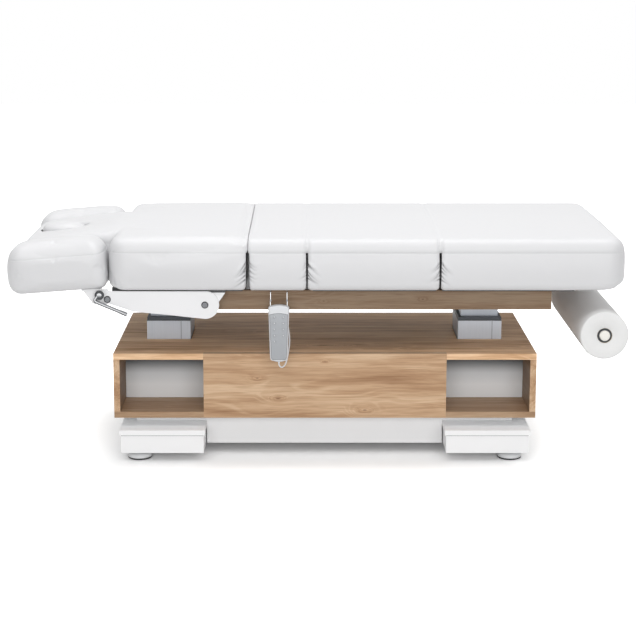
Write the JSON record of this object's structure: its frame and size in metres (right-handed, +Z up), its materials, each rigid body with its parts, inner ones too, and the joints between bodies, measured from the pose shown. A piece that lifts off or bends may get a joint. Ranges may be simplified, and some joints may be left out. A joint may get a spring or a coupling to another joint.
{
  "type": "spa bed with cabinet base",
  "caption": "Electrically adjustable spa bed: reclining upholstered sections and armrests on lifting columns over a wooden cabinet base with open niches, handset and paper roll holder.",
  "frame": {"origin": "floor level below the middle of the whole bed", "axes": "+X from the head end to the foot end, +Y from the operator's side (with the handset and the niches) to the far side, +Z up"},
  "size_m": [1.9732, 0.78, 0.7448],
  "materials": {
    "leatherette": "white upholstery leatherette, satin, welted seam",
    "wood": "oak-look boards, lengthwise grain, satin",
    "white_steel": "white powder coat",
    "niche_panel": "pale grey sheet, satin",
    "column": "silver anodised extrusion",
    "black_steel": "black satin coat",
    "chrome": "polished chrome",
    "white_plastic": "white moulded plastic",
    "grey_plastic": "blue-grey keypad film",
    "cord_jacket": "white cable jacket, smooth",
    "paper": "soft white couch paper"
  },
  "bodies": {
    "base": {"base_plinth": "white_steel", "cross_foot_left": "white_steel", "cross_foot_right": "white_steel", "cross_foot_cover_left": "white_steel", "cross_foot_cover_right": "white_steel", "cabinet_top": "wood", "cabinet_bottom": "wood", "cabinet_front_panel": "wood", "cabinet_rear_panel": "wood", "cabinet_side_left": "wood", "cabinet_side_right": "wood", "cabinet_partition_left": "wood", "cabinet_partition_right": "wood", "niche_back_left": "niche_panel", "niche_back_right": "niche_panel", "column_outer_left": "column", "column_outer_right": "column", "lift_drive_left": "black_steel", "lift_drive_right": "black_steel"},
    "foot_front_left": {"levelling_foot_front_left": "white_plastic"},
    "foot_rear_left": {"levelling_foot_rear_left": "white_plastic"},
    "foot_front_right": {"levelling_foot_front_right": "white_plastic"},
    "foot_rear_right": {"levelling_foot_rear_right": "white_plastic"},
    "upper_frame": {"column_inner_left": "column", "column_inner_right": "column", "frame_beam_front": "white_steel", "frame_beam_rear": "white_steel", "frame_cross_member_left": "white_steel", "frame_cross_member_right": "white_steel", "apron_front": "wood", "apron_rear": "wood", "apron_end": "wood", "seat_cushion": "leatherette", "back_actuator": "black_steel", "leg_actuator": "black_steel", "handset_shell": "white_plastic", "handset_keypad": "grey_plastic", "handset_hanger": "chrome", "handset_cord": "cord_jacket", "control_box": "white_plastic", "roll_holder": "white_steel"},
    "back": {"back_deck": "white_steel", "back_cushion": "leatherette"},
    "face_plug": {"face_plug": "leatherette"},
    "front_arm": {"arm_plate_front": "white_steel"},
    "rear_arm": {"arm_plate_rear": "white_steel"},
    "front_pad": {"pad_bracket_front": "white_steel", "armrest_pad_front": "leatherette"},
    "rear_pad": {"pad_bracket_rear": "white_steel", "armrest_pad_rear": "leatherette"},
    "front_lever": {"release_lever_front": "chrome"},
    "rear_lever": {"release_lever_rear": "chrome"},
    "thigh": {"thigh_deck": "white_steel", "thigh_cushion": "leatherette"},
    "calf": {"calf_deck": "white_steel", "calf_cushion": "leatherette"},
    "leg_stay": {"leg_stay": "black_steel"},
    "back_rod": {"back_actuator_rod": "chrome"},
    "leg_rod": {"leg_actuator_rod": "chrome"},
    "paper_roll": {"paper_roll": "paper"}
  },
  "joints": [
    {"name": "upper_frame_lift", "type": "slide", "parent": "base", "child": "upper_frame", "axis": [0, 0, 1], "range_m": [-0.05, 0.25]},
    {"name": "back_recline", "type": "hinge", "parent": "upper_frame", "child": "back", "pos_m": [-0.21918, 0, 0.714], "axis": [0, 1, 0], "range_deg": [0, 65]},
    {"name": "leg_raise", "type": "hinge", "parent": "upper_frame", "child": "thigh", "pos_m": [-0.03318, 0, 0.714], "axis": [0, -1, 0], "range_deg": [0, 30]},
    {"name": "knee_turn", "type": "hinge", "parent": "thigh", "child": "calf", "pos_m": [0.38482, 0, 0.5767], "axis": [0, 1, 0], "range_deg": [0, 30]},
    {"name": "stay_turn", "type": "hinge", "parent": "upper_frame", "child": "leg_stay", "pos_m": [-0.03318, 0.186, 0.555], "axis": [0, -1, 0], "range_deg": [0, 30]},
    {"name": "back_rod_slide", "type": "slide", "parent": "upper_frame", "child": "back_rod", "axis": [-1, 0, 0], "range_m": [0, 0.2498]},
    {"name": "leg_rod_slide", "type": "slide", "parent": "upper_frame", "child": "leg_rod", "axis": [1, 0, 0], "range_m": [0, 0.1051]},
    {"name": "face_plug_lift", "type": "slide", "parent": "back", "child": "face_plug", "axis": [0, 0, 1], "range_m": [0, 0.12]},
    {"name": "front_arm_turn", "type": "hinge", "parent": "back", "child": "front_arm", "pos_m": [-0.35518, -0.369, 0.532], "axis": [0, 1, 0], "range_deg": [-25, 0]},
    {"name": "rear_arm_turn", "type": "hinge", "parent": "back", "child": "rear_arm", "pos_m": [-0.35518, 0.369, 0.532], "axis": [0, 1, 0], "range_deg": [-25, 0]},
    {"name": "front_pad_tilt", "type": "hinge", "parent": "front_arm", "child": "front_pad", "pos_m": [-0.66218, -0.369, 0.55], "axis": [0, 1, 0], "range_deg": [-20, 0]},
    {"name": "rear_pad_tilt", "type": "hinge", "parent": "rear_arm", "child": "rear_pad", "pos_m": [-0.66218, 0.369, 0.55], "axis": [0, 1, 0], "range_deg": [-20, 0]},
    {"name": "front_lever_turn", "type": "hinge", "parent": "front_pad", "child": "front_lever", "pos_m": [-0.68618, -0.3793, 0.565], "axis": [0, 1, 0], "range_deg": [0, 40]},
    {"name": "rear_lever_turn", "type": "hinge", "parent": "rear_pad", "child": "rear_lever", "pos_m": [-0.68618, 0.3793, 0.565], "axis": [0, 1, 0], "range_deg": [0, 40]},
    {"name": "roll_spin", "type": "hinge", "parent": "upper_frame", "child": "paper_roll", "pos_m": [0.90982, 0, 0.431], "axis": [0, 1, 0], "continuous": true},
    {"name": "foot_front_left_turn", "type": "hinge", "parent": "base", "child": "foot_front_left", "pos_m": [-0.57918, -0.268, 0], "axis": [0, 0, 1], "continuous": true},
    {"name": "foot_rear_left_turn", "type": "hinge", "parent": "base", "child": "foot_rear_left", "pos_m": [-0.57918, 0.268, 0], "axis": [0, 0, 1], "continuous": true},
    {"name": "foot_front_right_turn", "type": "hinge", "parent": "base", "child": "foot_front_right", "pos_m": [0.62882, -0.268, 0], "axis": [0, 0, 1], "continuous": true},
    {"name": "foot_rear_right_turn", "type": "hinge", "parent": "base", "child": "foot_rear_right", "pos_m": [0.62882, 0.268, 0], "axis": [0, 0, 1], "continuous": true}
  ],
  "couplings": [
    {"joint": "knee_turn", "follows": "leg_raise", "ratio": 1},
    {"joint": "stay_turn", "follows": "leg_raise", "ratio": 1},
    {"joint": "leg_rod_slide", "follows": "leg_raise", "m_per_rad": 0.2006},
    {"joint": "back_rod_slide", "follows": "back_recline", "m_per_rad": 0.22013}
  ]
}
